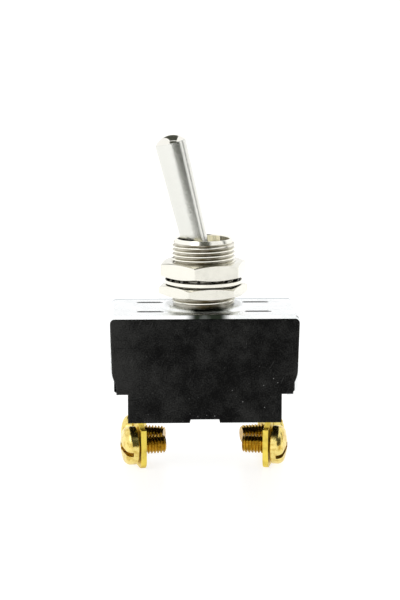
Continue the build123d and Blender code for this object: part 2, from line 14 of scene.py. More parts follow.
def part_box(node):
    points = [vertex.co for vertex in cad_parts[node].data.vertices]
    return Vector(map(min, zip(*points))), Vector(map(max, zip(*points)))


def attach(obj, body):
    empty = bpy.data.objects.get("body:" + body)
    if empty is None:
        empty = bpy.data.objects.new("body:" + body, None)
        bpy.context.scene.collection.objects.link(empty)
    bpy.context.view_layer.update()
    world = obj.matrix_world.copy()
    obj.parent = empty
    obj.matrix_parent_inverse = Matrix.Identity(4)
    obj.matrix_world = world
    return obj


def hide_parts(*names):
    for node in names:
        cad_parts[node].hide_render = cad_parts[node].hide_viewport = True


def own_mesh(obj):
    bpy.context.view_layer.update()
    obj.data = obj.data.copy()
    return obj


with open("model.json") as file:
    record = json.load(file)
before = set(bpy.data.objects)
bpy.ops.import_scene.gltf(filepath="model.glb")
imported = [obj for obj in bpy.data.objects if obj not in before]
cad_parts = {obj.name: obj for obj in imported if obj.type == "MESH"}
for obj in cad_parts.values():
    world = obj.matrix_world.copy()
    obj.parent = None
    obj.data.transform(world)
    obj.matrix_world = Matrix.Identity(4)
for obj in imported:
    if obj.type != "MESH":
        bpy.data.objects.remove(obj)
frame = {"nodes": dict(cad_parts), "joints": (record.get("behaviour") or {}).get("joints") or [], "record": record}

# Finishes and fine pieces of a double-pole toggle switch with screw terminals. The CAD frame gives every
# place; sizes that the frame does not hold are fields of the classes below, in millimetres times MM.
MM = 0.001
LOG = logging.getLogger("toggle_switch")
Point = tuple[float, float]
Piece = bpy.types.Object
Node = bpy.types.Node
AddNode = Callable[..., Node]  # add_node, bound to one material's node tree
# A shader node's inputs, in order or by name or number: values, output sockets or nodes.
Inputs = dict[str | int, Any] | tuple[Any, ...]


class Pole(Enum):
    """The switch's two circuits, one behind the other."""

    FRONT = "front"
    BACK = "back"


class End(Enum):
    """The switch's two rows of terminals."""

    LINE = "line"
    LOAD = "load"


class Cut(Enum):
    """How a Boolean modifier joins two closed meshes."""

    UNION = "UNION"
    DIFFERENCE = "DIFFERENCE"
    INTERSECT = "INTERSECT"


# ---- modelling by hand -------------------------------------------------------------------------------


def deselect_everything() -> None:
    """Leaves edit mode and deselects every object."""
    if bpy.context.object is not None and bpy.context.object.mode != "OBJECT":
        bpy.ops.object.mode_set(mode="OBJECT")
    bpy.ops.object.select_all(action="DESELECT")


def pick(obj: Piece) -> None:
    """Makes one object the only selected and active one.

    Args:
        obj: The object to work on.
    """
    deselect_everything()
    obj.select_set(True)
    bpy.context.view_layer.objects.active = obj


@contextmanager
def editing(obj: Piece, everything: bool = True) -> Iterator[None]:
    """Opens a piece's mesh in edit mode and leaves it when the block ends.

    Args:
        obj: The mesh object.
        everything: Whether all of it is selected, rather than what already was.
    """
    pick(obj)
    bpy.ops.object.mode_set(mode="EDIT")
    if everything:
        bpy.ops.mesh.select_all(action="SELECT")
    yield
    bpy.ops.object.mode_set(mode="OBJECT")


def finish_primitive(name: str) -> Piece:
    """Names the primitive that was just added and puts its place into its mesh.

    Args:
        name: The piece's name.

    Returns:
        The new object, at the origin, unturned and unscaled.
    """
    obj = bpy.context.object
    obj.name = name
    obj.data.name = name
    bpy.ops.object.transform_apply(location=True, rotation=True, scale=True)
    return obj


def add_block(name: str, low: Sequence[float], high: Sequence[float]) -> Piece:
    """Adds a box between two corners.

    Args:
        name: The piece's name.
        low: Its lowest corner.
        high: Its highest corner.

    Returns:
        The new object.
    """
    deselect_everything()
    middle = [(a + b) / 2 for a, b in zip(low, high)]
    bpy.ops.mesh.primitive_cube_add(size=1, location=middle)
    bpy.context.object.scale = [b - a for a, b in zip(low, high)]
    return finish_primitive(name)


def draw_outline(name: str, points: Sequence[Point]) -> Piece:
    """Draws an open outline in the XZ plane, extruding one vertex from point to point.

    Args:
        name: The piece's name.
        points: Pairs of distance from the Z axis and height.

    Returns:
        An object that holds the outline as a chain of edges.
    """
    deselect_everything()
    bpy.ops.mesh.primitive_plane_add(size=MM, location=(points[0][0], 0, points[0][1]))
    obj = finish_primitive(name)
    with editing(obj):
        bpy.ops.mesh.select_mode(type="VERT")
        bpy.ops.mesh.merge(type="CENTER")
        for (x0, z0), (x1, z1) in zip(points, points[1:]):
            bpy.ops.mesh.extrude_vertices_move(TRANSFORM_OT_translate={"value": (x1 - x0, 0, z1 - z0)})
    return obj


def close_mesh(obj: Piece) -> Piece:
    """Merges doubled vertices and turns every face outwards.

    Args:
        obj: A mesh object.

    Returns:
        The same object.
    """
    with editing(obj):
        bpy.ops.mesh.remove_doubles(threshold=0.0005 * MM)
        bpy.ops.mesh.normals_make_consistent(inside=False)
    return obj


def turn_outline(name: str, points: Sequence[Point], steps: int = 96) -> Piece:
    """Spins an outline about the Z axis, as on a lathe.

    Args:
        name: The piece's name.
        points: Pairs of radius and height, both ends on the axis.
        steps: Steps of the whole turn.

    Returns:
        A closed solid of revolution.
    """
    obj = draw_outline(name, points)
    with editing(obj):
        bpy.ops.mesh.spin(steps=steps, angle=math.tau, center=(0, 0, 0), axis=(0, 0, 1))
    return close_mesh(obj)


def draw_bar(name: str, points: Sequence[Point], start: float, end: float) -> Piece:
    """Fills an outline in the XZ plane and extrudes it along Y.

    Args:
        name: The piece's name.
        points: Pairs of X and Z.
        start: Where the bar begins along Y.
        end: Where it ends.

    Returns:
        A closed bar.
    """
    obj = draw_outline(name, points)
    with editing(obj):
        bpy.ops.mesh.edge_face_add()
        bpy.ops.mesh.extrude_region_move(TRANSFORM_OT_translate={"value": (0, end - start, 0)})
    place(obj, Matrix.Translation((0, start, 0)))
    return close_mesh(obj)


def arc(centre: Point, radius: float, start: float, end: float, steps: int) -> list[Point]:
    """Points along a circular arc of an outline.

    Args:
        centre: The arc's centre.
        radius: The arc's radius.
        start: First angle in degrees, from +X towards +Z.
        end: Last angle in degrees.
        steps: Number of straight steps.

    Returns:
        The points, ends included.
    """
    angles = [math.radians(start + (end - start) * i / steps) for i in range(steps + 1)]
    return [(centre[0] + radius * math.cos(a), centre[1] + radius * math.sin(a)) for a in angles]


def apply_modifier(obj: Piece, kind: str, **settings: Any) -> Piece:
    """Adds a modifier with its settings and applies it.

    Args:
        obj: The mesh object.
        kind: The modifier's type.
        **settings: The modifier's properties.

    Returns:
        The same object.
    """
    pick(obj)
    bpy.ops.object.modifier_add(type=kind)
    modifier = obj.modifiers[-1]
    for key, value in settings.items():
        setattr(modifier, key, value)
    bpy.ops.object.modifier_apply(modifier=modifier.name)
    return obj


def join_solids(obj: Piece, tool: Piece, cut: Cut) -> None:
    """Joins, cuts or intersects one closed mesh with another, and removes the tool.

    Args:
        obj: The mesh that stays.
        tool: The mesh that shapes it.
        cut: How they are joined.
    """
    apply_modifier(obj, "BOOLEAN", object=tool, operation=cut.value, solver="EXACT")
    bpy.data.objects.remove(tool)
    close_mesh(obj)


def break_edges(obj: Piece, width: float, angle: float = 35.0, segments: int = 2) -> Piece:
    """Rounds a piece's sharp edges, as tumbling and plating leave them.

    Args:
        obj: The mesh object.
        width: The rounding's width.
        angle: Edges sharper than this are rounded, in degrees.
        segments: Steps across the rounding.

    Returns:
        The same object.
    """
    settings = {"limit_method": "ANGLE", "angle_limit": math.radians(angle), "harden_normals": False}
    return apply_modifier(obj, "BEVEL", width=width, segments=segments, **settings)


def place(obj: Piece, matrix: Matrix) -> None:
    """Moves a piece to its place and puts that place into its mesh.

    Args:
        obj: A piece modelled about the origin.
        matrix: Its place in the row frame.
    """
    pick(obj)
    obj.matrix_world = matrix
    bpy.ops.object.transform_apply(location=True, rotation=True, scale=True)


def smooth(obj: Piece, angle: float = 30.0) -> Piece:
    """Shades a piece smooth, with its corners kept crisp.

    Args:
        obj: The mesh object.
        angle: Corners sharper than this stay crisp, in degrees.

    Returns:
        The same object.
    """
    pick(obj)
    bpy.ops.object.shade_smooth_by_angle(angle=math.radians(angle))
    return obj


def even_normals(obj: Piece) -> Piece:
    """Shades a piece smooth but keeps its flat faces flat, beside broken edges too."""
    return apply_modifier(smooth(obj), "WEIGHTED_NORMAL", mode="FACE_AREA", weight=50, keep_sharp=True)


def copy_skin(node: str, name: str) -> Piece:
    """Copies a CAD node's mesh as one closed skin.

    Args:
        node: The CAD node.
        name: The new piece's name.

    Returns:
        The new piece.
    """
    piece = bpy.data.objects.new(name, frame["nodes"][node].data.copy())
    bpy.context.scene.collection.objects.link(piece)
    return close_mesh(piece)


def soften(piece: Piece, width: float, segments: int = 2) -> Piece:
    """Rounds the edges of a copied skin.

    Args:
        piece: The copy.
        width: The rounding's width.
        segments: Steps across the rounding.

    Returns:
        The same object.
    """
    with editing(piece):
        bpy.ops.mesh.dissolve_limited(angle_limit=math.radians(1.0))
    return even_normals(break_edges(piece, width, segments=segments))


@dataclass(frozen=True)
class Thread:
    """A right-hand external thread, worn a little at its crests, cut as a closed solid."""

    major: float  # radius over the crests
    pitch: float  # from crest to crest
    steps: int = 96  # round one turn
    form: float = 0.6134  # height of the thread's form as a share of its pitch
    flats: int = 5  # flats, as wide as a crest or a root, that go into the pitch

    @property
    def depth(self) -> float:
        """Height of the thread's form from root to crest."""
        return self.form * self.pitch

    def solid(self, name: str, low: float, high: float, groove: float = 0.0) -> Piece:
        """A threaded rod about Z between two heights, with flat ends.

        Args:
            name: The piece's name.
            low: Height of the lower end.
            high: Height of the upper end.
            groove: A height at which a groove's middle passes -Y.

        Returns:
            The closed rod.
        """
        crest = root = self.pitch / self.flats
        flank = (self.pitch - crest - root) / 2
        minor = self.major - self.depth
        start = groove - crest - flank - root / 2 - 0.75 * self.pitch
        start -= (math.ceil((start - low) / self.pitch) + 2) * self.pitch
        turns = math.ceil((high - start) / self.pitch) + 2
        points: list[Point] = [(self.major, start)]
        for index in range(turns):
            z = start + index * self.pitch
            points += [(self.major, z + crest), (minor, z + crest + flank)]
            points += [(minor, z + crest + flank + root), (self.major, z + self.pitch)]
        rod = draw_outline(name, points)
        rise = {"screw_offset": self.pitch, "steps": self.steps, "render_steps": self.steps}
        apply_modifier(rod, "SCREW", axis="Z", angle=math.tau, iterations=1, **rise)
        close_mesh(rod)
        for height, upper in ((low, False), (high, True)):
            flat = {"plane_co": (0, 0, height), "plane_no": (0, 0, 1), "threshold": 0.0001 * MM}
            with editing(rod):
                bpy.ops.mesh.bisect(use_fill=True, clear_outer=upper, clear_inner=not upper, **flat)
        return close_mesh(rod)


# ---- finishes ----------------------------------------------------------------------------------------


def linear(colour: str) -> tuple[float, float, float, float]:
    """Turns an sRGB hex colour such as "#c8a24b" into linear red, green, blue and alpha."""
    parts = [int(colour[i : i + 2], 16) / 255 for i in (1, 3, 5)]
    red, green, blue = (c / 12.92 if c <= 0.04045 else ((c + 0.055) / 1.055) ** 2.4 for c in parts)
    return red, green, blue, 1.0


def feed(tree: bpy.types.NodeTree, node: Node, inputs: Inputs) -> None:
    """Sets a shader node's inputs.

    Args:
        tree: The node tree.
        node: The node.
        inputs: Its inputs. Of a node, the first output in use is linked.
    """
    for key, value in inputs.items() if isinstance(inputs, dict) else enumerate(inputs):
        if isinstance(value, Node):
            value = next(output for output in value.outputs if output.enabled)
        if isinstance(value, bpy.types.NodeSocket):
            tree.links.new(value, node.inputs[key])
        else:
            node.inputs[key].default_value = value


def add_node(tree: bpy.types.NodeTree, kind: str, inputs: Inputs = (), **settings: Any) -> Node:
    """Adds a shader node with its settings, values and links.

    Args:
        tree: The node tree.
        kind: The node's type, without its "ShaderNode" prefix.
        inputs: Its inputs.
        **settings: The node's own properties.

    Returns:
        The new node.
    """
    node = tree.nodes.new("ShaderNode" + kind)
    for key, value in settings.items():
        setattr(node, key, value)
    feed(tree, node, inputs)
    return node


def new_material(name: str, colour: str, inputs: dict[str, Any]) -> bpy.types.Material:
    """Makes a material of one colour.

    Args:
        name: Its name.
        colour: Its base colour as sRGB hex.
        inputs: Other inputs of its Principled shader.

    Returns:
        The material.
    """
    made = bpy.data.materials.new(name)
    made.use_nodes = True
    shader = made.node_tree.nodes["Principled BSDF"]
    feed(made.node_tree, shader, {"Base Color": linear(colour), **inputs})
    return made


def from_axis(add: AddNode, spot: Node) -> Node:
    """The distance of a spot on the piece from the Z axis, in millimetres."""
    flat = add("VectorMath", (spot, (1, 1, 0)), operation="MULTIPLY")
    return add("VectorMath", (flat,), operation="LENGTH")


def from_side(add: AddNode, spot: Node, side: float) -> Node:
    """How far a spot is to the left or right of an X, in millimetres."""
    beside = add("Math", (add("SeparateXYZ", (spot,)), side), operation="SUBTRACT")
    return add("Math", (beside,), operation="ABSOLUTE")


@dataclass(frozen=True)
class Finish:
    """A surface finish; each kind adds its own pattern in paint()."""

    name: str  # what the real material is and how its surface was made
    colour: str
    metallic: float
    roughness: float

    def material(self) -> bpy.types.Material:
        """The finish as a material, made the first time that it is asked for.

        Returns:
            The material.
        """
        found = bpy.data.materials.get(self.name)
        if found is not None:
            return found
        made = new_material(self.name, self.colour, {"Metallic": self.metallic, "Roughness": self.roughness})
        tree = made.node_tree
        add = partial(add_node, tree)
        metres = add("TexCoord").outputs["Object"]
        spot = add("VectorMath", {0: metres, "Scale": 1 / MM}, operation="SCALE")
        feed(tree, tree.nodes["Principled BSDF"], self.paint(add, spot))
        return made

    def paint(self, add: AddNode, spot: Node) -> dict[str, Any]:
        """Adds the finish's pattern.

        Args:
            add: Adds a node to the material.
            spot: Node that gives the place on the piece, in millimetres.

        Returns:
            What the pattern gives the Principled shader.
        """
        return {}

    def dress(self, obj: Piece) -> None:
        """Gives a piece this finish all over."""
        obj.data.materials.clear()
        obj.data.materials.append(self.material())


@dataclass(frozen=True)
class MouldedPhenolic(Finish):
    """Compression-moulded phenolic: near black with soft grey clouds, fine scuffs, a little dust, and a painted
    sheen that pales its left end.
    """

    cloud: str = "#30302f"
    scuff: str = "#484847"
    dust: str = "#c4c5c3"
    gloss_level: float = 0.08
    cloud_size: float = 5.0
    scuff_width: float = 0.22
    dust_spacing: float = 1.3
    painted_sheen_from: float = -9.0  # where the painted sheen on the left end begins, in millimetres right of the middle
    painted_sheen_to: float = -17.6

    def paint(self, add: AddNode, spot: Node) -> dict[str, Any]:
        """Clouds, mottle and a painted sheen on the left end, fine scuffs at three angles, and specks of dust."""
        soft = {"Scale": 1 / self.cloud_size, "Detail": 10.0, "Roughness": 0.7}
        clouds = add("TexNoise", {"Vector": spot, **soft})
        share = add("MapRange", (clouds, 0.38, 0.78))
        along = add("SeparateXYZ", (spot,))
        # Painted sheen: the left end is paled towards the cloud colour.
        painted_light_and_tool_marks = add("MapRange", (along, self.painted_sheen_from, self.painted_sheen_to, 0.0, 0.6))
        share = add("Math", (share, painted_light_and_tool_marks), operation="ADD")
        grain = add("TexNoise", {"Vector": spot, "Scale": 4.0, "Detail": 3.0})
        mottle = add("MapRange", (grain, 0.3, 0.7, -0.45, 0.4))
        share = add("Math", (share, mottle), operation="ADD", use_clamp=True)
        colour = add("Mix", {0: share, 6: linear(self.colour), 7: linear(self.cloud)}, data_type="RGBA")
        fine = {"Scale": 1 / self.scuff_width, "Detail": 1.0, "Distortion": 0.4}
        for turn, shift in ((0.35, 0.0), (1.15, 7.0), (-0.75, 13.0)):
            moved = add("Mapping", {"Vector": spot, "Location": (shift, shift, shift)})
            patches = add("TexNoise", {"Vector": moved, "Scale": 0.22, "Detail": 2.0})
            patches = add("MapRange", (patches, 0.52, 0.64))
            turned = add("Mapping", {"Vector": moved, "Rotation": (0.0, turn, 0.0)})
            lain = add("Mapping", {"Vector": turned, "Scale": (0.07, 0.6, 1.0)})
            lines = add("TexNoise", {"Vector": lain, **fine})
            lines = add("MapRange", (lines, 0.66, 0.76, 0.0, 0.45))
            marks = add("Math", (lines, patches), operation="MULTIPLY")
            colour = add("Mix", {0: marks, 6: colour, 7: linear(self.scuff)}, data_type="RGBA")
        cells = add("TexVoronoi", {"Vector": spot, "Scale": 1 / self.dust_spacing})
        near = add("Math", (cells, grain), operation="MULTIPLY")
        specks = add("MapRange", (near, 0.02, 0.045, 1.0, 0.0))
        strewn = add("TexNoise", {"Vector": spot, "Scale": 0.16, "Detail": 3.0})
        strewn = add("MapRange", (strewn, 0.42, 0.56, 0.0, 0.8))
        corner = add("Math", (along, along.outputs["Z"]), operation="SUBTRACT")
        corner = add("MapRange", (corner, -14.0, -2.0, 0.15))
        strewn = add("Math", (strewn, corner), operation="MULTIPLY")
        marks = add("Math", (specks, strewn), operation="MULTIPLY")
        colour = add("Mix", {0: marks, 6: colour, 7: linear(self.dust)}, data_type="RGBA")
        bump = add("Bump", {"Height": grain, "Distance": 0.01 * MM, "Strength": 1.0})
        return {"Base Color": colour, "Specular IOR Level": self.gloss_level, "Normal": bump}


@dataclass(frozen=True)
class PlatedSheet(Finish):
    """Bright zinc on rolled steel: cool white with faint rolling marks, a painted dark reflection in and round the
    drawn boss, and a painted teal reflection along the rear edge.

    Places are millimetres from the bushing's axis.
    """

    shade: str = "#f9fcfd"  # between the rolling marks
    painted_reflection: str = "#282e25"
    painted_reflection_inner: float = 6.6  # radius where the boss's painted dark reflection is full
    painted_reflection_outer: float = 7.8  # radius where it ends
    foot: float = 8.2  # radius of the boss's foot, where the painted reflection over the front is fainter
    painted_reflection_all_round: float = 0.3  # share of the painted dark reflection that stays all round the boss
    painted_dark_centre: float = 0.6  # middle of the painted dark reflection over the front
    painted_dark_full: float = 2.2  # how far to each side it is full
    painted_dark_end: float = 4.6  # how far it goes
    painted_edge_reflection: str = "#3d6b7c"  # painted reflection along the rear edge
    rear: float = 8.2  # where that edge begins
    mark_width: float = 0.3

    def paint(self, add: AddNode, spot: Node) -> dict[str, Any]:
        """Long streaks in colour and gloss over soft clouds, then the painted dark reflection by radius and the
        painted reflection along the rear edge.
        """
        lain = add("Mapping", {"Vector": spot, "Scale": (0.05, 1.0, 0.3)})
        streaks = add("TexNoise", {"Vector": lain, "Scale": 1 / self.mark_width, "Detail": 3.0})
        clouds = add("TexNoise", {"Vector": spot, "Scale": 0.3, "Detail": 3.0})
        both = add("Math", (streaks, clouds), operation="MULTIPLY")
        share = add("MapRange", (both, 0.12, 0.34))
        colour = add("Mix", {0: share, 6: linear(self.shade), 7: linear(self.colour)}, data_type="RGBA")
        # Painted dark reflection: a faint ring in and round the boss, and a band over its front that is fainter at
        # the boss's foot.
        uneven = add("Math", (clouds, from_axis(add, spot)), operation="ADD")
        uneven = add("Math", (uneven, 0.5), operation="SUBTRACT")
        soft = {"interpolation_type": "SMOOTHSTEP"}
        ring = add("MapRange", (uneven, self.painted_reflection_inner, self.painted_reflection_outer, 1.0, 0.0), **soft)
        ring = add("Math", (ring, self.painted_reflection_all_round), operation="MULTIPLY")
        away = add("Math", (uneven, self.foot), operation="SUBTRACT")
        away = add("Math", (away,), operation="ABSOLUTE")
        painted_light_and_tool_marks = add("MapRange", (away, 0.2, 0.7, 0.45))
        side = from_side(add, spot, self.painted_dark_centre)
        middle = add("MapRange", (side, self.painted_dark_full, self.painted_dark_end, 1.0, 0.0), **soft)
        depth = add("SeparateXYZ", (spot,)).outputs["Y"]
        front = add("MapRange", (depth, -5.0, -3.0, 1.0, 0.0))
        smear = add("Math", (middle, painted_light_and_tool_marks), operation="MULTIPLY")
        smear = add("Math", (smear, front), operation="MULTIPLY")
        ring = add("Math", (ring, smear), operation="MAXIMUM")
        # Mixes in the painted dark reflection.
        colour = add("Mix", {0: ring, 6: colour, 7: linear(self.painted_reflection)}, data_type="RGBA")
        # Painted reflection: a teal line along the rear edge.
        painted_edge = add("MapRange", (depth, self.rear, self.rear + 0.05, 0.0, 0.85))
        colour = add("Mix", {0: painted_edge, 6: colour, 7: linear(self.painted_edge_reflection)}, data_type="RGBA")
        gloss = add("MapRange", (share, 0.0, 1.0, self.roughness + 0.08, self.roughness))
        bump = add("Bump", {"Height": streaks, "Distance": 0.002 * MM, "Strength": 1.0})
        return {"Base Color": colour, "Roughness": gloss, "Normal": bump}


@dataclass(frozen=True)
class PaintedShadePlate(Finish):
    """Plated turned brass about the Z axis, with painted shade in the thread's roots and where two pieces meet,
    which can be stronger near the middle from left to right.

    Places are millimetres from the Z axis or above the ground.
    """

    bright: float = 5.85  # radius at and beyond which the plate has no painted shade
    dull: float = 5.45  # radius at which the painted shade is full
    inner: float = 5.0  # radius of the bore, inside which the plate has no painted shade again
    low: float = 0.0  # height where the painted shade starts
    high: float = 100.0  # height where it ends
    painted_dark_centre: float = 0.3  # how far right of the axis it is darkest
    painted_shade_at_sides: float = 1.0  # share of it left at the two sides
    painted_shade: str = "#857a5c"

    def paint(self, add: AddNode, spot: Node) -> dict[str, Any]:
        """Paints shade on the plate by radius between two heights, unevenly round the turn."""
        # Painted shade: full in the thread's roots between two heights, patchy, and stronger near the middle from
        # left to right.
        radius = from_axis(add, spot)
        height = add("SeparateXYZ", (spot,)).outputs["Z"]
        patches = add("TexNoise", {"Vector": spot, "Scale": 0.5, "Detail": 3.0})
        share = add("MapRange", (radius, self.dull, self.bright, 1.0, 0.0))
        masks = (
            (radius, self.inner, self.inner + 0.05),
            (height, self.low - 0.1, self.low),
            (height, self.high, self.high + 0.1, 1.0, 0.0),
            (patches, 0.35, 0.6, 0.7),
            (from_side(add, spot, self.painted_dark_centre), 0.5, 4.5, 1.0, self.painted_shade_at_sides),
        )
        for mask in masks:
            share = add("Math", (share, add("MapRange", mask)), operation="MULTIPLY")
        colour = add("Mix", {0: share, 6: linear(self.colour), 7: linear(self.painted_shade)}, data_type="RGBA")
        gloss = add("MapRange", (share, 0.0, 1.0, self.roughness, self.roughness + 0.2))
        return {"Base Color": colour, "Roughness": gloss}


@dataclass(frozen=True)
class SatinBore(Finish):
    """Reamed and plated bore: satin with upright tool marks, and painted shade at its two sides."""

    bore_painted_shade: str = "#120e07"
    left: float = 1.6  # millimetres left of the axis past which painted shade darkens the wall
    right: float = 3.2  # the same on the right
    taper: float = 0.2  # slope of the reamer's lead, too slight to model, that turns the wall up to the light

    def paint(self, add: AddNode, spot: Node) -> dict[str, Any]:
        """Upright marks in colour, and painted shade by side."""
        lain = add("Mapping", {"Vector": spot, "Scale": (1.0, 1.0, 0.05)})
        marks = add("TexNoise", {"Vector": lain, "Scale": 2.5, "Detail": 3.0})
        # Painted shade: the wall darkens past set distances left and right of the axis; the tool marks darken it a
        # little too.
        side = add("SeparateXYZ", (spot,))
        left = add("MapRange", (side, -self.left, -self.left - 0.5, 0.0, 0.95))
        right = add("MapRange", (side, self.right, self.right + 0.1, 0.0, 0.75))
        painted_side_shade = add("Math", (left, right), operation="MAXIMUM")
        painted_light_and_tool_marks = add("MapRange", (marks, 0.4, 0.7, 0.0, 0.2))
        share = add("Math", (painted_side_shade, painted_light_and_tool_marks), operation="ADD", use_clamp=True)
        colour = add("Mix", {0: share, 6: linear(self.colour), 7: linear(self.bore_painted_shade)}, data_type="RGBA")
        narrower = add("Math", (side.outputs["Z"], -self.taper), operation="MULTIPLY")
        bump = add("Bump", {"Height": narrower, "Distance": MM, "Strength": 1.0})
        return {"Base Color": colour, "Normal": bump}


@dataclass(frozen=True)
class BrushedRod(Finish):
    """Satin nickel, brushed while the rod turned: fine rings smear each reflection along its length."""

    lean: float = 0.0  # how far the rod's axis leans about Y, in degrees
    smear: float = 0.4  # how much longer the gloss is along the rod than round it
    ring: float = 0.14  # width of a brush ring in millimetres, about four times as coarse as it is, to show
    shade: str = "#e0e0da"

    def paint(self, add: AddNode, spot: Node) -> dict[str, Any]:
        """Fine rings in height and a little in colour, and a gloss stretched along the rod."""
        lean = math.radians(self.lean)
        upright = add("Mapping", {"Vector": spot, "Rotation": (0.0, lean, 0.0)})
        lain = add("Mapping", {"Vector": upright, "Scale": (0.35, 0.35, 1.0)})
        rings = add("TexNoise", {"Vector": lain, "Scale": 1 / self.ring, "Detail": 3.0})
        share = add("MapRange", (rings, 0.4, 0.64, 0.0, 0.6))
        colour = add("Mix", {0: share, 6: linear(self.colour), 7: linear(self.shade)}, data_type="RGBA")
        bump = add("Bump", {"Height": rings, "Distance": 0.03 * MM, "Strength": 1.0})
        to_world = {"vector_type": "VECTOR", "convert_from": "OBJECT", "convert_to": "WORLD"}
        along = add("VectorTransform", ((-math.sin(lean), 0.0, math.cos(lean)),), **to_world)
        return {"Base Color": colour, "Normal": bump, "Anisotropic": self.smear, "Tangent": along}


@dataclass(frozen=True)
class Grained(Finish):
    """A finish with one grain in height and gloss and, if it has a shade, soft patches of that."""

    grain: float  # size of the grain in millimetres
    depth: float  # its height in millimetres
    detail: float = 3.0
    drawn: float = 1.0  # below 1 the grain is drawn out along Z
    gloss: Point = (0.0, 0.0)  # what the grain's lows and highs add to the roughness
    shade: str = ""
    patch: float = 1.0  # size of a patch in millimetres
    patches: tuple[float, float, float] = (0.45, 0.72, 0.8)  # noise where they begin and end; strength

    def paint(self, add: AddNode, spot: Node) -> dict[str, Any]:
        """The grain in height and gloss, and the patches in colour."""
        lain = add("Mapping", {"Vector": spot, "Scale": (1.0, 1.0, self.drawn)})
        grains = add("TexNoise", {"Vector": lain, "Scale": 1 / self.grain, "Detail": self.detail})
        low, high = (self.roughness + step for step in self.gloss)
        bump = add("Bump", {"Height": grains, "Distance": self.depth * MM, "Strength": 1.0})
        look = {"Roughness": add("MapRange", (grains, 0.3, 0.7, low, high)), "Normal": bump}
        if self.shade:
            begin, full, strength = self.patches
            clouds = add("TexNoise", {"Vector": spot, "Scale": 1 / self.patch, "Detail": 4.0})
            share = add("MapRange", (clouds, begin, full, 0.0, strength))
            ends = {0: share, 6: linear(self.colour), 7: linear(self.shade)}
            look["Base Color"] = add("Mix", ends, data_type="RGBA")
        return look


PHENOLIC = MouldedPhenolic("moulded_phenolic", "#020202", 0.0, 0.55)
ZINC = PlatedSheet("zinc_plated_rolled_sheet", "#feffff", 1.0, 0.22)
BORE = SatinBore("reamed_nickel_bore", "#f7efd0", 1.0, 0.18)
# Bright plate: a mirror, warm white on nickel, with a slow ripple from the turned or pressed metal under it.
RIPPLE = {"grain": 1.6, "depth": 0.008, "gloss": (0.0, 0.08)}
NICKEL = Grained("bright_nickel_plate", "#eae8de", 1.0, 0.16, **RIPPLE)
SPRING = Grained("drawn_spring_steel", "#b9b9b8", 1.0, 0.25, **RIPPLE)
SILVER = Grained("pressed_silver_alloy", "#dddcd8", 1.0, 0.22, **RIPPLE)
DOME = Grained("polished_nickel_dome", "#f2f0e8", 1.0, 0.04, grain=2.5, depth=0.004, gloss=(0.0, 0.08))
# Rolled strip, blanked and barrel-finished: pale yellow with fine upright scratches and soft tarnish.
SCRATCHES = {"grain": 0.2, "depth": 0.006, "detail": 4.0, "drawn": 0.12, "gloss": (0.0, 0.15)}
TARNISH = {"shade": "#c0a54c", "patch": 1 / 0.45, "patches": (0.42, 0.7, 1.0)}
BRASS = Grained("rolled_brass_strip", "#f3da62", 1.0, 0.3, **SCRATCHES, **TARNISH)
# Yellow-passivated brass: saturated gold, smooth, mottled, with small dents from tumbling.
DENTS = {"grain": 0.7, "depth": 0.012, "detail": 2.0, "patch": 0.9}
GOLD = Grained("yellow_passivated_brass", "#f2dd88", 1.0, 0.2, shade="#c79b25", **DENTS)
# The same brass, darker, for the screws' threads under the heads: painted shade.
THREAD_GOLD_PAINTED_SHADE = Grained("yellow_passivated_brass_thread", "#c69d30", 1.0, 0.22, shade="#8a6a18", **DENTS)
# Pressed board and moulded thermoset: even colour with a fine matt grain.
MATT = {"grain": 0.15, "depth": 0.008, "gloss": (-0.06, 0.06)}
BOARD = Grained("black_insulating_board", "#1d1f20", 0.0, 0.55, **MATT)
CARRIER = Grained("natural_moulded_insulation", "#cfc8b4", 0.0, 0.45, **MATT)


# ---- the panel mount ---------------------------------------------------------------------------------


def frame_joint(name: str) -> dict[str, Any]:
    """The CAD joint of that name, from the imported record."""
    return next(joint for joint in frame["joints"] if joint["name"] == name)


def frame_mount(name: str) -> dict[str, Any]:
    """The CAD mount of that name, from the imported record."""
    return next(mount for mount in frame["record"]["mounts"] if mount["name"] == name)


def carry(obj: Piece, body: str, slot: str, *nodes: str) -> Piece:
    """Lets a finished piece ride on its body, in the place of the CAD nodes that it stands for.

    Args:
        obj: The finished piece.
        body: The CAD body that carries it.
        slot: The record's material slot; not used.
        *nodes: The CAD nodes that it stands for.

    Returns:
        The same object.
    """
    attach(obj, body)
    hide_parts(*nodes)
    return obj


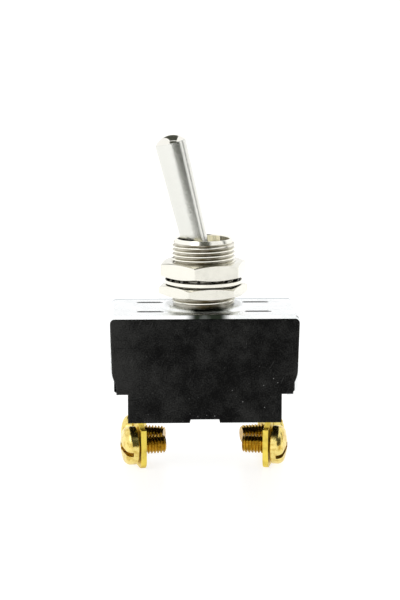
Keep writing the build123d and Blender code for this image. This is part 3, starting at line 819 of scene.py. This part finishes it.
@dataclass
class PanelMount:
    """The threaded bushing with its two hexagon nuts and the toothed washer between them."""

    thread_pitch: float = 25.4 / 32 * MM
    run_in: float = 0.4 * MM  # thread cut past the bushing's lower end, then trimmed
    run_out: float = 0.8 * MM
    bore_chamfer: float = 0.2 * MM
    bushing_wall: float = 1.08 * MM
    undercut: float = 0.25 * MM
    lead_length: float = 1.25 * MM
    lead_depth: float = 0.7 * MM
    keyway_width: float = 2.2 * MM
    keyway_depth: float = 0.55 * MM
    engaged_depth: float = 0.25 * MM
    neck_radius: float = 3.38 * MM
    neck_height: float = 2.6 * MM
    pin_room: float = 0.85 * MM
    pin_reach: float = 4.55 * MM
    across_flats: float = 14.7 * MM
    nut_chamfer: float = 0.45 * MM
    nut_face: float = 0.15 * MM  # how far the chamfer cuts into the flats
    nut_edge: float = 0.07 * MM
    nut_sink: float = 0.35 * MM
    nut_play: float = 0.05 * MM
    tooth_bite: float = 0.2 * MM
    tooth_edge: float = 0.06 * MM
    rim_unshaded: float = 0.08 * MM  # how far in from its rim the washer has no painted shade
    rim_full_shade: float = 0.2 * MM  # how far in from it the painted shade is full
    nut_turns: dict[str, float] = field(default_factory=lambda: {"lower_hex_nut": 9.5, "upper_hex_nut": 17.3})
    first_groove: float = 1.66 * MM

    def __post_init__(self) -> None:
        """Reads the CAD levels and the thread's radius."""
        self.radius: float = frame_mount("panel_bushing")["dims"]["r_mm"] * MM
        self.thread = Thread(self.radius, self.thread_pitch)
        low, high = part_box("bushing")
        self.bottom: float = low.z
        self.top: float = high.z
        self.ring_radius: float = high.x
        self.thread_bottom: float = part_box("cover_frame")[1].z + self.undercut
        self.nuts_bottom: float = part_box("lower_hex_nut")[0].z
        self.nuts_top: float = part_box("upper_hex_nut")[1].z
        self.washer_rim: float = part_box("lock_washer")[1].x
        self.pivot: float = frame_joint("lever_toggle")["pos_m"][2]
        self.bore: float = self.radius - self.bushing_wall
        self.shoulder: float = self.pivot + self.neck_height

    def build(self) -> list[Piece]:
        """Models the bushing, the nuts and the washer."""
        bushing = self.bushing()
        nuts = [self.hex_nut(node, turn) for node, turn in self.nut_turns.items()]
        return [bushing, *nuts, self.washer()]

    def bushing(self) -> Piece:
        """The bushing: its thread trimmed to length, its undercut foot added and its openings cut.

        Returns:
            The finished bushing.
        """
        envelope = self.envelope()
        levels = (self.thread_bottom - self.run_in, self.top + self.run_out)
        body = self.thread.solid("bushing_threaded", *levels, groove=self.top - self.first_groove)
        join_solids(body, envelope, Cut.INTERSECT)
        join_solids(body, self.foot(), Cut.UNION)
        for tool in (self.bore_tool, self.keyway, self.pin_slots):
            join_solids(body, tool(), Cut.DIFFERENCE)
        smooth(close_mesh(body), 24)
        # Painted shade in the thread's roots, from the undercut up to the lead, stronger near the middle from left
        # to right.
        PaintedShadePlate(
            *("nickel_plated_cut_thread", "#faf8ee", 1.0, 0.2),
            bright=self.radius / MM,
            dull=(self.radius - 0.8 * self.thread.depth) / MM,
            low=(self.thread_bottom - self.undercut) / MM,
            high=(self.top - 0.6 * self.lead_length) / MM,
            painted_shade_at_sides=0.55,
            painted_shade="#6f6446",
        ).dress(body)
        body.data.materials.append(BORE.material())
        for face in body.data.polygons:
            outward = face.center.x * face.normal.x + face.center.y * face.normal.y
            inside = math.hypot(face.center.x, face.center.y) < self.bore + 0.01 * MM
            face.material_index = int(inside and outward < 0 and face.center.z > self.shoulder)
        return carry(body, "switch_body", "nickel", "bushing")

    def envelope(self) -> Piece:
        """What the thread is trimmed to: a lead cone at its top, and a smaller radius under the nuts."""
        thread, engaged = self.radius, self.radius - self.engaged_depth
        points = [(0, self.thread_bottom), (thread, self.thread_bottom), (thread, self.nuts_bottom)]
        points += [(engaged, self.nuts_bottom), (engaged, self.nuts_top), (thread, self.nuts_top)]
        points += [(thread, self.top - self.lead_length), (thread - self.lead_depth, self.top), (0, self.top)]
        return turn_outline("envelope", points)

    def foot(self) -> Piece:
        """The spigot inside the case and the undercut between it and the thread."""
        root = self.radius - self.thread.depth
        spigot = self.ring_radius - 2 * self.bushing_wall
        ledge = self.thread_bottom - self.undercut
        top = self.thread_bottom + self.thread_pitch / 8
        points = [(0, self.bottom), (spigot, self.bottom), (spigot, ledge)]
        points += [(root, ledge), (root, top), (0, top)]
        return turn_outline("base", points)

    def bore_tool(self) -> Piece:
        """The bore, wide at the mouth, narrow at the lever's ball and wide again below it."""
        mouth = self.bore_chamfer
        spigot = self.neck_radius + self.pin_room
        points = [(0, self.bottom - MM), (spigot, self.bottom - MM)]
        points += [(spigot, self.pivot - 1.5 * self.pin_room)]
        points += [(self.neck_radius, self.pivot - self.pin_room), (self.neck_radius, self.shoulder)]
        points += [(self.bore, self.shoulder + self.bore - self.neck_radius), (self.bore, self.top - mouth)]
        points += [(self.bore + 2 * mouth, self.top + mouth), (0, self.top + mouth)]
        return turn_outline("bore", points)

    def keyway(self) -> Piece:
        """The groove down the bushing's left side that keeps it from turning in a panel."""
        half = self.keyway_width / 2
        low = (-self.radius - MM, -half, self.thread_bottom)
        return add_block("keyway", low, (-(self.radius - self.keyway_depth), half, self.top + MM))

    def pin_slots(self) -> Piece:
        """The slots through the spigot that the pivot pin is pushed up."""
        low = (-self.pin_room, -self.pin_reach, self.bottom - MM)
        return add_block("pin_slots", low, (self.pin_room, self.pin_reach, self.pivot + self.pin_room))

    def washer(self) -> Piece:
        """The toothed lock washer, bright at its rim and with painted shade inside it, between the nuts.

        Returns:
            The finished washer.
        """
        washer = soften(copy_skin("lock_washer", "toothed_lock_washer"), self.tooth_edge, 1)
        # Painted shade over the washer inside its rim, where it lies between the nuts.
        PaintedShadePlate(
            *("oiled_toothed_spring_steel", "#f0ede2", 1.0, 0.18),
            bright=(self.washer_rim - self.rim_unshaded) / MM,
            dull=(self.washer_rim - self.rim_full_shade) / MM,
            inner=0.0,
            painted_shade="#120f0a",
        ).dress(washer)
        return carry(washer, "switch_body", "nickel", "lock_washer")

    def hex_nut(self, node: str, turn: float) -> Piece:
        """A hexagon nut, chamfered as on a lathe, with a countersunk bore.

        Args:
            node: The CAD nut that it stands for.
            turn: How far it is turned about the bushing, in degrees.

        Returns:
            The finished nut.
        """
        low, high = (corner.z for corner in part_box(node))
        low -= self.tooth_bite if node == "upper_hex_nut" else 0.0
        corner = self.across_flats / math.sqrt(3)
        edge = self.across_flats / 2 - self.nut_face
        angle = math.radians(turn + 30)
        size = {"vertices": 6, "radius": corner, "depth": high - low}
        deselect_everything()
        bpy.ops.mesh.primitive_cylinder_add(**size, location=(0, 0, (low + high) / 2), rotation=(0, 0, angle))
        nut = finish_primitive(node + "_chamfered")
        points = [(0, low), (edge, low), (corner, low + self.nut_chamfer)]
        points += [(corner, high - self.nut_chamfer), (edge, high), (0, high)]
        join_solids(nut, turn_outline("chamfer_form", points, 144), Cut.INTERSECT)
        bore = self.radius - self.engaged_depth + self.nut_play
        sink = self.nut_sink
        points = [(0, low - sink), (bore + 2 * sink, low - sink), (bore, low + sink)]
        points += [(bore, high - sink), (bore + 2 * sink, high + sink), (0, high + sink)]
        join_solids(nut, turn_outline("nut_bore", points), Cut.DIFFERENCE)
        close_mesh(nut)
        even_normals(break_edges(nut, self.nut_edge, 25))
        NICKEL.dress(nut)
        return carry(nut, "switch_body", "nickel", node)


# ---- the lever ---------------------------------------------------------------------------------------


@dataclass
class Lever:
    """The bat lever: satin shaft, polished dome, and the ball and tail that work the contacts."""

    length: float = 27.3 * MM
    tip_radius: float = 2.95 * MM
    tip_band: float = 0.4 * MM
    tip_edge: float = 0.06 * MM
    tip_step: float = 0.05 * MM
    rim_radius: float = 2.5 * MM
    rim_reach: float = 7.3 * MM
    waist_radius: float = 2.35 * MM
    dome_height: float = 1.35 * MM
    dome_inset: float = 0.14 * MM
    ball_radius: float = 3.3 * MM
    tail_radius: float = 2.0 * MM
    tail_length: float = 13.2 * MM

    def build(self) -> list[Piece]:
        """Models the lever and dresses what rides on it.

        Returns:
            The new pieces.
        """
        joint = frame_joint("lever_toggle")
        lean = joint["range_deg"][1] / 2
        matrix = Matrix.Translation(Vector(joint["pos_m"])) @ Matrix.Rotation(math.radians(-lean), 4, "Y")
        base = self.length - self.dome_height
        radius = self.tip_radius - self.dome_inset
        dome = self.dome(base, radius)
        shaft = self.shaft(base, radius)
        for piece in (shaft, dome):
            place(piece, matrix)
            smooth(piece, 25)
        BrushedRod("brushed_satin_nickel", "#e7e7e1", 1.0, 0.22, lean).dress(shaft)
        DOME.dress(dome)
        carry(shaft, "lever", "lever_nickel", "toggle_lever")
        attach(dome, "lever")
        SPRING.dress(frame["nodes"]["pivot_pin"])
        CARRIER.dress(frame["nodes"]["actuator_carrier"])
        return [shaft, dome]

    def dome(self, base: float, radius: float) -> Piece:
        """The polished dome on the lever's tip.

        Args:
            base: How far its foot is from the pivot.
            radius: Its foot's radius.

        Returns:
            The dome, upright about the pivot.
        """
        curve = (radius**2 + self.dome_height**2) / (2 * self.dome_height)
        half_angle = math.degrees(math.asin(radius / curve))
        points = [(0.0, base), *arc((0.0, self.length - curve), curve, 90 - half_angle, 90, 20)]
        points[1] = (radius, base)
        return turn_outline("lever_dome", points)

    def shaft(self, base: float, radius: float) -> Piece:
        """The tail, ball, waist and tapered shaft, up to the dome.

        Args:
            base: How far the shaft's end is from the pivot.
            radius: The dome's foot radius.

        Returns:
            The shaft, upright about the pivot.
        """
        tail_joint = -math.degrees(math.acos(self.tail_radius / self.ball_radius))
        waist_joint = math.degrees(math.acos(self.waist_radius / self.ball_radius))
        points = [(0.0, -self.tail_length), (self.tail_radius, -self.tail_length)]
        points += arc((0.0, 0.0), self.ball_radius, tail_joint, waist_joint, 24)
        points += [(self.waist_radius, self.rim_reach / 2), (self.rim_radius, self.rim_reach)]
        points += [(self.tip_radius, base - self.tip_band), (self.tip_radius, base - self.tip_edge)]
        points += [(self.tip_radius - self.tip_step, base), (radius, base), (0.0, base)]
        return turn_outline("lever_shaft", points)


# ---- case, contacts and terminals --------------------------------------------------------------------


@dataclass
class Case:
    """The phenolic case, its insulator and the folded cover."""

    moulded_edge: float = 0.22 * MM
    sheet_edge: float = 0.12 * MM
    sheet: float = 0.7 * MM
    bend_radius: float = 1.1 * MM
    corner_radius: float = 0.9 * MM
    flange_width: float = 13.0 * MM
    overlap: float = 0.1 * MM
    skin: float = 0.01 * MM  # how far a joined bar stays inside the sheet's faces

    def build(self) -> list[Piece]:
        """Rounds and dresses the case and its cover.

        Returns:
            The new pieces.
        """
        housing = copy_skin("housing", "moulded_housing")
        cover = copy_skin("cover_frame", "folded_cover")
        self.wrap_corners(housing, cover)
        PHENOLIC.dress(soften(housing, self.moulded_edge))
        ZINC.dress(soften(cover, self.sheet_edge))
        BOARD.dress(frame["nodes"]["insulator_plate"])
        carry(housing, "switch_body", "phenolic", "housing")
        carry(cover, "switch_body", "zinc_steel", "cover_frame")
        return [housing, cover]

    def wrap_corners(self, housing: Piece, cover: Piece) -> None:
        """Rounds the case's four upper corners and carries the cover's bend over them to its long edges.

        Args:
            housing: The case's skin.
            cover: The cover's skin.
        """
        low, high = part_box("housing")
        inner, bend, skin = self.corner_radius, self.bend_radius, self.skin
        outer_x, outer_z = high.x - skin, high.z + self.sheet - skin
        strip = arc((outer_x - bend, outer_z - bend), bend, 90, 0, 8)
        strip += arc((outer_x - inner, high.z + skin - inner), inner, 0, 90, 8)
        strip.append((high.x - bend - self.sheet, high.z + skin))
        waste = arc((high.x - inner, high.z - inner), inner, 90, 0, 8)
        waste += [(high.x + MM, high.z - inner), (high.x + MM, outer_z), (high.x - inner, outer_z)]
        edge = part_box("cover_frame")[1].y - skin
        flange = self.flange_width / 2
        for side in (-1, 1):
            cut = draw_bar("corner_waste", [(side * x, z) for x, z in waste], low.y - MM, high.y + MM)
            join_solids(housing, cut, Cut.DIFFERENCE)
            for start, end in ((-edge, self.overlap - flange), (flange - self.overlap, edge)):
                bar = draw_bar("corner_bend", [(side * x, z) for x, z in strip], start, end)
                join_solids(cover, bar, Cut.UNION)


@dataclass
class Contacts:
    """The rockers, plungers, springs and silver contacts inside the case."""

    def close_spring(self, pole: Pole) -> None:
        """Gives a pole's coil its own copy of its mesh.

        Args:
            pole: The pole whose plunger the coil pushes.
        """
        name = f"plunger_spring_{pole.value}"
        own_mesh(frame["nodes"][name])

    def build(self) -> list[Piece]:
        """Dresses the CAD pieces of both poles; no piece is new."""
        finishes = {"plunger": BRASS, "plunger_spring": SPRING, "rocker": BRASS}
        finishes |= {"moving_contact": SILVER, "fixed_contact": SILVER}
        for pole in Pole:
            for node, finish in finishes.items():
                finish.dress(frame["nodes"][f"{node}_{pole.value}"])
            self.close_spring(pole)
        return []


@dataclass
class Terminals:
    """The four brass tabs and their pan-head screws."""

    thread_radius: float = 1.75 * MM
    thread_pitch: float = 0.6 * MM
    head_radius: float = 3.6 * MM
    head_height: float = 2.8 * MM
    head_gap: float = 0.3 * MM
    head_crown: float = 0.35 * MM
    head_corner: float = 1.3 * MM
    head_edge: float = 0.15 * MM
    crown_reach: float = 2.3 * MM
    strip: float = 1.05 * MM
    reach: float = 4.2 * MM
    point_chamfer: float = 0.3 * MM
    slot_width: float = 0.85 * MM
    slot_depth: float = 1.7 * MM
    slot_edge: float = 0.05 * MM
    sunk: float = 0.2 * MM  # how far the shank reaches into the head
    overcut: float = 0.3 * MM
    cross_width: float = 0.95 * MM
    cross_length: float = 3.7 * MM
    cross_depth: float = 1.45 * MM
    cross_taper: Point = (0.35, 0.6)  # shares of its length and width left at the bottom
    tab_edge: float = 0.07 * MM
    recess_turns: dict[tuple[End, Pole], float] = field(
        default_factory=lambda: {
            (End.LINE, Pole.FRONT): 74,
            (End.LINE, Pole.BACK): 65,
            (End.LOAD, Pole.FRONT): 118,
            (End.LOAD, Pole.BACK): 35,
        }
    )

    def build(self) -> list[Piece]:
        """Models the four screws and the four tabs.

        Returns:
            The new pieces.
        """
        pattern = self.blank()
        pieces = []
        for (end, pole), turn in self.recess_turns.items():
            name = f"{end.value}_{pole.value}"
            pieces += [self.screw(pattern, name, turn), self.tab(end, pole)]
        bpy.data.objects.remove(pattern)
        return pieces

    def tab(self, end: End, pole: Pole) -> Piece:
        """One brass terminal with its blanked edges rounded.

        Args:
            end: Which row of terminals.
            pole: Which circuit.

        Returns:
            The finished terminal.
        """
        node = f"{end.value}_terminal_{pole.value}"
        tab = soften(copy_skin(node, f"brass_tab_{end.value}_{pole.value}"), self.tab_edge, 1)
        BRASS.dress(tab)
        return carry(tab, "switch_body", "brass_strip", node)

    def blank(self) -> Piece:
        """A screw along Z with the tab's outer face at 0: domed head, thread, slot and cross recess.

        Returns:
            The screw that the four are copied from.
        """
        top = self.head_gap + self.head_height
        head = self.head(self.head_gap, top)
        join_solids(head, self.shank(top), Cut.UNION)
        half = self.slot_width / 2
        reach = self.head_radius + MM
        slot = add_block("slot", (-reach, -half, top - self.slot_depth), (reach, half, top + MM))
        join_solids(head, slot, Cut.DIFFERENCE)
        for turn in (0, 90):
            wing = self.recess_wing(top)
            place(wing, Matrix.Rotation(math.radians(turn), 4, "Z"))
            join_solids(head, wing, Cut.DIFFERENCE)
        close_mesh(head)
        return smooth(break_edges(head, self.slot_edge, 50, 1), 35)

    def head(self, under: float, top: float) -> Piece:
        """The screw's plain head: flat below, with round shoulders and a low crown.

        Args:
            under: Height of its underside.
            top: Height of its crown.

        Returns:
            The head.
        """
        edge, corner, crown, reach = self.head_edge, self.head_corner, self.head_crown, self.crown_reach
        curve = (reach**2 + crown**2) / (2 * crown)
        rise = 90 - math.degrees(math.asin(reach / curve))
        points = [(0.0, under), (self.head_radius - edge, under), (self.head_radius, under + edge)]
        points += arc((self.head_radius - corner, top - crown - corner), corner, 0, rise, 10)
        points += arc((0.0, top - curve), curve, rise, 90, 12)[1:]
        return turn_outline("screw_blank", points)

    def shank(self, top: float) -> Piece:
        """The screw's thread with its chamfered point, reaching up into the head.

        Args:
            top: Height of the head's crown.

        Returns:
            The shank.
        """
        radius, chamfer = self.thread_radius, self.point_chamfer
        end = -(self.strip + self.reach)
        levels = (end - self.thread_pitch, self.head_gap + self.sunk)
        shank = Thread(radius, self.thread_pitch, 48).solid("shank", *levels)
        points = [(0, end), (radius - chamfer, end), (radius + MM, end + chamfer + MM)]
        points += [(radius + MM, top), (0, top)]
        join_solids(shank, turn_outline("point", points, 48), Cut.INTERSECT)
        return shank

    def recess_wing(self, top: float) -> Piece:
        """One tapered arm of the cross recess, as a cutting tool.

        Args:
            top: Height of the head's top.

        Returns:
            The tool, narrow at the bottom.
        """
        low = (-self.cross_length / 2, -self.cross_width / 2, top - self.cross_depth)
        high = (self.cross_length / 2, self.cross_width / 2, top + self.overcut)
        wing = add_block("recess_wing", low, high)
        for face in wing.data.polygons:
            face.select = face.normal.z < -0.5
        with editing(wing, everything=False):
            bpy.ops.mesh.select_mode(type="FACE")
            bpy.ops.transform.resize(value=(*self.cross_taper, 1), center_override=(0, 0, low[2]))
        return wing

    def screw(self, pattern: Piece, name: str, turn: float) -> Piece:
        """A copy of the screw in its tab's hole, with its recess turned, a bright head and a thread in a darker
        copy of the same brass, as painted shade.

        Args:
            pattern: The modelled screw.
            name: Which terminal it clamps, such as line_front.
            turn: How far the recess is turned, in degrees.

        Returns:
            The finished screw.
        """
        mount = frame_mount(f"wire_clamp_{name}")
        hole, outward = Vector(mount["pos_m"]), Vector(mount["axis"])
        copy = pattern.copy()
        copy.data = pattern.data.copy()
        copy.name = f"pan_head_screw_{name}"
        bpy.context.scene.collection.objects.link(copy)
        facing = Euler((0, math.pi / 2, math.atan2(outward.y, outward.x))).to_matrix().to_4x4()
        place(copy, Matrix.Translation(hole) @ facing @ Matrix.Rotation(math.radians(turn), 4, "Z"))
        GOLD.dress(copy)
        # The thread takes the darker copy of the same brass: painted shade.
        copy.data.materials.append(THREAD_GOLD_PAINTED_SHADE.material())
        seat = hole.dot(outward) + self.head_gap / 2
        for face in copy.data.polygons:
            face.material_index = int(face.center.dot(outward) < seat)
        return carry(copy, f"screw_{name}", "brass_screw", f"terminal_screw_{name}")


# ---- the studio --------------------------------------------------------------------------------------


@dataclass(frozen=True)
class Flag:
    """A dark flag in the studio that metal mirrors as a streak."""

    azimuth: float  # its direction from the switch, in degrees from -Y towards +X
    elevation: float  # its direction above the floor, in degrees
    distance: float
    width: float
    height: float


@dataclass
class Studio:
    """A lit white table, soft light from all round with a few dark flags, and the camera."""

    focal_length: float = 122.64
    place: tuple[float, float, float] = (-12.58 * MM, -377.43 * MM, 98.08 * MM)
    aim: tuple[float, float, float] = (-0.647 * MM, 0.0, 30.737 * MM)
    roll: float = 0.024
    floor_size: float = 12.0
    glow: float = 0.8
    sky_light: float = 1.06
    softbox_place: tuple[float, float, float] = (-0.35, -0.45, 0.6)
    softbox_size: float = 0.4
    softbox_power: float = 0.8  # watts
    centre: tuple[float, float, float] = (0.0, 0.0, 48 * MM)
    flags: tuple[Flag, ...] = (
        Flag(35, 17, 240 * MM, 320 * MM, 200 * MM),
        Flag(98, 17, 240 * MM, 45 * MM, 200 * MM),
        Flag(3, 58, 260 * MM, 180 * MM, 300 * MM),
        Flag(186, 58, 260 * MM, 150 * MM, 300 * MM),
    )

    def build(self) -> list[Piece]:
        """Makes the table, the light, the flags and the camera.

        Returns:
            The table, which is not part of the object.
        """
        bpy.context.scene.view_settings.view_transform = "Standard"
        floor = self.floor()
        self.sky()
        # Charcoal felt: dark and matt, so a flag shows only as a soft grey streak in the metal.
        felt = new_material("black_felt", "#4e5048", {"Roughness": 0.9, "Specular IOR Level": 0.1})
        for index, flag in enumerate(self.flags):
            self.flag(f"black_flag_{index + 1}", flag, felt)
        self.softbox()
        self.camera()
        return [floor]

    def floor(self) -> Piece:
        """A plain white table of opal sheet, lit from below.

        Returns:
            The table.
        """
        deselect_everything()
        bpy.ops.mesh.primitive_grid_add(x_subdivisions=2, y_subdivisions=2, size=self.floor_size)
        floor = finish_primitive("studio_floor")
        lit = {"Emission Color": linear("#fffffe"), "Emission Strength": self.glow}
        # Opal acrylic: pale, a little glossy, and it glows so that a shadow on it stays faint.
        opal = {"Roughness": 0.35, "Specular IOR Level": 0.15, **lit}
        floor.data.materials.append(new_material("opal_acrylic_light_table", "#959595", opal))
        return floor

    def sky(self) -> None:
        """Even white light from all round."""
        world = bpy.data.worlds.new("white_studio")
        bpy.context.scene.world = world
        world.use_nodes = True
        tree = world.node_tree
        seen = add_node(tree, "LightPath").outputs["Is Camera Ray"]
        light = add_node(tree, "Math", (seen, self.sky_light), operation="MAXIMUM")
        feed(tree, tree.nodes["Background"], {"Color": (1.0, 1.0, 1.0, 1.0), "Strength": light})

    def flag(self, name: str, flag: Flag, felt: bpy.types.Material) -> None:
        """Stands a flag so that it faces the switch.

        Args:
            name: The flag's name.
            flag: Its place and size.
            felt: What it is made of.
        """
        turn, rise = math.radians(flag.azimuth), math.radians(flag.elevation)
        outward = Vector((math.sin(turn) * math.cos(rise), -math.cos(turn) * math.cos(rise), math.sin(rise)))
        deselect_everything()
        bpy.ops.mesh.primitive_plane_add(size=1, location=Vector(self.centre) + flag.distance * outward)
        bpy.context.object.scale = (flag.width, flag.height, 1)
        bpy.context.object.rotation_euler = outward.to_track_quat("Z", "Y").to_euler()
        card = finish_primitive(name)
        card.data.materials.append(felt)
        card.visible_camera = False

    def softbox(self) -> None:
        """A soft square light that points at the switch."""
        data = bpy.data.lights.new("key_softbox", "AREA")
        data.size = self.softbox_size
        data.energy = self.softbox_power
        lamp = bpy.data.objects.new("key_softbox", data)
        bpy.context.scene.collection.objects.link(lamp)
        lamp.location = self.softbox_place
        lamp.rotation_euler = (Vector(self.aim) - lamp.location).to_track_quat("-Z", "Y").to_euler()
        lamp.visible_camera = False

    def camera(self) -> None:
        """The camera, a little above the switch and in front of it."""
        data = bpy.data.cameras.new("camera")
        data.lens = self.focal_length
        data.sensor_width = 36.0
        data.clip_start = 0.01
        data.clip_end = 20.0
        lens = bpy.data.objects.new("camera", data)
        bpy.context.scene.collection.objects.link(lens)
        spot = Vector(self.place)
        look = (Vector(self.aim) - spot).to_track_quat("-Z", "Y").to_matrix().to_4x4()
        lens.matrix_world = Matrix.Translation(spot) @ look @ Matrix.Rotation(math.radians(self.roll), 4, "Z")
        bpy.context.scene.camera = lens


# ---- the whole switch --------------------------------------------------------------------------------


def main() -> None:
    """Builds every sub-assembly in order, and logs each new piece's face count."""
    logging.basicConfig(level=logging.INFO, format="%(name)s: %(message)s")
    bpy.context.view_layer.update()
    parts: dict[str, Callable[[], list[Piece]]] = {
        "case": Case().build,
        "contacts": Contacts().build,
        "panel mount": PanelMount().build,
        "lever": Lever().build,
        "terminals": Terminals().build,
        "studio": Studio().build,
    }
    for title, build in parts.items():
        for piece in build():
            LOG.info("%s: %s, %d faces", title, piece.name, len(piece.data.polygons))
        LOG.info("%s is done", title)


if __name__ == "__main__":
    main()
